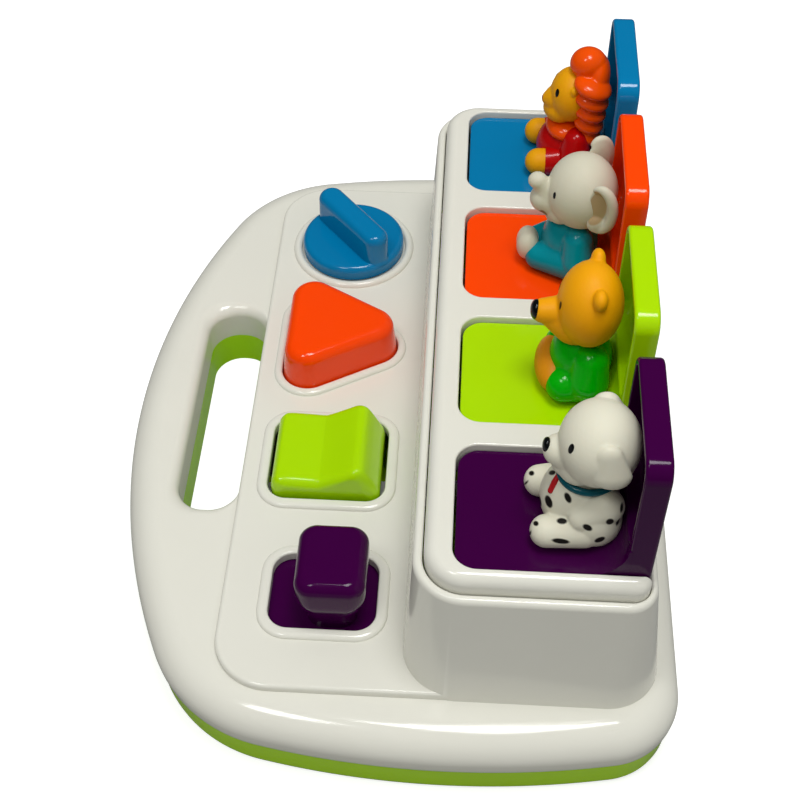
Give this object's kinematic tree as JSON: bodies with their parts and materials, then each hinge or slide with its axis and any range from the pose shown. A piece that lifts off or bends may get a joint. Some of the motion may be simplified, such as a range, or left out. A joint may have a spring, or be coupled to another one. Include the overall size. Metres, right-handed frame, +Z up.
{
  "type": "pop up animal toy",
  "caption": "D-shaped activity base with carry slot; a dial, triangle button, rocker and slide lever each release a sprung lid carrying a seated animal.",
  "frame": {"origin": "middle of the base's underside", "axes": "+X along the row of controls, +Y from the child towards the hinges, +Z up"},
  "size_m": [0.32, 0.225, 0.1515],
  "materials": {
    "tray_plastic": "glossy moulded",
    "shell_plastic": "glossy moulded",
    "deck_plastic": "glossy moulded",
    "rod_steel": "satin",
    "screw_steel": "satin",
    "spring_steel": "satin",
    "lever_plastic": "satin moulded",
    "cam_plastic": "satin moulded",
    "lid_blue": "glossy moulded",
    "lid_orange": "glossy moulded",
    "lid_green": "glossy moulded",
    "lid_purple": "glossy moulded",
    "dial_plastic": "glossy moulded",
    "button_plastic": "glossy moulded",
    "rocker_plastic": "glossy moulded",
    "slide_plastic": "glossy moulded",
    "lion_plastic": "satin vinyl with glossy paint",
    "elephant_plastic": "satin vinyl with glossy paint",
    "bear_plastic": "satin vinyl with glossy paint",
    "dog_plastic": "satin vinyl with glossy paint"
  },
  "bodies": {
    "base": {"base_tray": "tray_plastic", "upper_shell": "shell_plastic", "deck_frame": "deck_plastic", "hinge_rod": "rod_steel", "lever_rod": "rod_steel", "base_screws": "screw_steel", "deck_screws": "screw_steel", "lid_spring_blue": "spring_steel", "lid_spring_orange": "spring_steel", "lid_spring_green": "spring_steel", "lid_spring_purple": "spring_steel", "lever_spring_blue": "spring_steel", "lever_spring_orange": "spring_steel", "lever_spring_green": "spring_steel", "lever_spring_purple": "spring_steel"},
    "pop_lid_blue": {"lid_blue": "lid_blue", "lion_figure": "lion_plastic", "figure_screws_blue": "screw_steel"},
    "pop_lid_orange": {"lid_orange": "lid_orange", "elephant_figure": "elephant_plastic", "figure_screws_orange": "screw_steel"},
    "pop_lid_green": {"lid_green": "lid_green", "bear_figure": "bear_plastic", "figure_screws_green": "screw_steel"},
    "pop_lid_purple": {"lid_purple": "lid_purple", "dog_figure": "dog_plastic", "figure_screws_purple": "screw_steel"},
    "catch_blue": {"release_lever_blue": "lever_plastic"},
    "catch_orange": {"release_lever_orange": "lever_plastic"},
    "catch_green": {"release_lever_green": "lever_plastic"},
    "catch_purple": {"release_lever_purple": "lever_plastic"},
    "dial": {"dial_knob": "dial_plastic", "dial_cam": "cam_plastic", "dial_screw": "screw_steel"},
    "button": {"triangle_button": "button_plastic"},
    "rocker": {"rocker_switch": "rocker_plastic"},
    "slider": {"slide_lever": "slide_plastic"}
  },
  "joints": [
    {"name": "lid_hinge_blue", "type": "hinge", "parent": "base", "child": "pop_lid_blue", "pos_m": [-0.0975, 0.0875, 0.0913], "axis": [1, 0, 0], "range_deg": [0, 90], "stiffness_Nm_per_rad": 0.02, "springref_deg": -68.75},
    {"name": "lid_hinge_orange", "type": "hinge", "parent": "base", "child": "pop_lid_orange", "pos_m": [-0.0325, 0.0875, 0.0913], "axis": [1, 0, 0], "range_deg": [0, 90], "stiffness_Nm_per_rad": 0.02, "springref_deg": -68.75},
    {"name": "lid_hinge_green", "type": "hinge", "parent": "base", "child": "pop_lid_green", "pos_m": [0.0325, 0.0875, 0.0913], "axis": [1, 0, 0], "range_deg": [0, 90], "stiffness_Nm_per_rad": 0.02, "springref_deg": -68.75},
    {"name": "lid_hinge_purple", "type": "hinge", "parent": "base", "child": "pop_lid_purple", "pos_m": [0.0975, 0.0875, 0.0913], "axis": [1, 0, 0], "range_deg": [0, 90], "stiffness_Nm_per_rad": 0.02, "springref_deg": -68.75},
    {"name": "dial_turn", "type": "hinge", "parent": "base", "child": "dial", "pos_m": [-0.0975, -0.0263, 0.036], "axis": [0, 0, 1], "range_deg": [0, 75], "stiffness_Nm_per_rad": 0.01},
    {"name": "button_press", "type": "slide", "parent": "base", "child": "button", "axis": [0, 0, -1], "range_m": [0, 0.004], "stiffness_N_per_m": 400, "springref_m": -0.002},
    {"name": "rocker_tilt", "type": "hinge", "parent": "base", "child": "rocker", "pos_m": [0.0325, -0.0264, 0.031], "axis": [-1, 0, 0], "range_deg": [0, 14], "stiffness_Nm_per_rad": 0.05, "springref_deg": -11.46},
    {"name": "slider_push", "type": "slide", "parent": "base", "child": "slider", "axis": [0, -1, 0], "range_m": [0, 0.014], "stiffness_N_per_m": 60, "springref_m": -0.004},
    {"name": "catch_tilt_blue", "type": "hinge", "parent": "base", "child": "catch_blue", "pos_m": [-0.0975, -0.0545, 0.01], "axis": [-1, 0, 0], "range_deg": [0, 4.2], "stiffness_Nm_per_rad": 0.05, "springref_deg": -14.32, "deforming": ["lever_spring_blue"]},
    {"name": "catch_tilt_orange", "type": "hinge", "parent": "base", "child": "catch_orange", "pos_m": [-0.0325, -0.0545, 0.01], "axis": [-1, 0, 0], "range_deg": [0, 5.2], "stiffness_Nm_per_rad": 0.05, "springref_deg": -14.32, "deforming": ["lever_spring_orange"]},
    {"name": "catch_tilt_green", "type": "hinge", "parent": "base", "child": "catch_green", "pos_m": [0.0325, -0.0545, 0.01], "axis": [-1, 0, 0], "range_deg": [0, 4.35], "stiffness_Nm_per_rad": 0.05, "springref_deg": -14.32, "deforming": ["lever_spring_green"]},
    {"name": "catch_tilt_purple", "type": "hinge", "parent": "base", "child": "catch_purple", "pos_m": [0.0975, -0.0545, 0.01], "axis": [-1, 0, 0], "range_deg": [0, 5], "stiffness_Nm_per_rad": 0.05, "springref_deg": -14.32, "deforming": ["lever_spring_purple"]}
  ],
  "couplings": [
    {"joint": "catch_tilt_blue", "follows": "dial_turn", "ratio": 0.0556},
    {"joint": "catch_tilt_orange", "follows": "button_press", "rad_per_m": 22.471},
    {"joint": "catch_tilt_green", "follows": "rocker_tilt", "ratio": 0.30786},
    {"joint": "catch_tilt_purple", "follows": "slider_push", "rad_per_m": 6.2084}
  ]
}
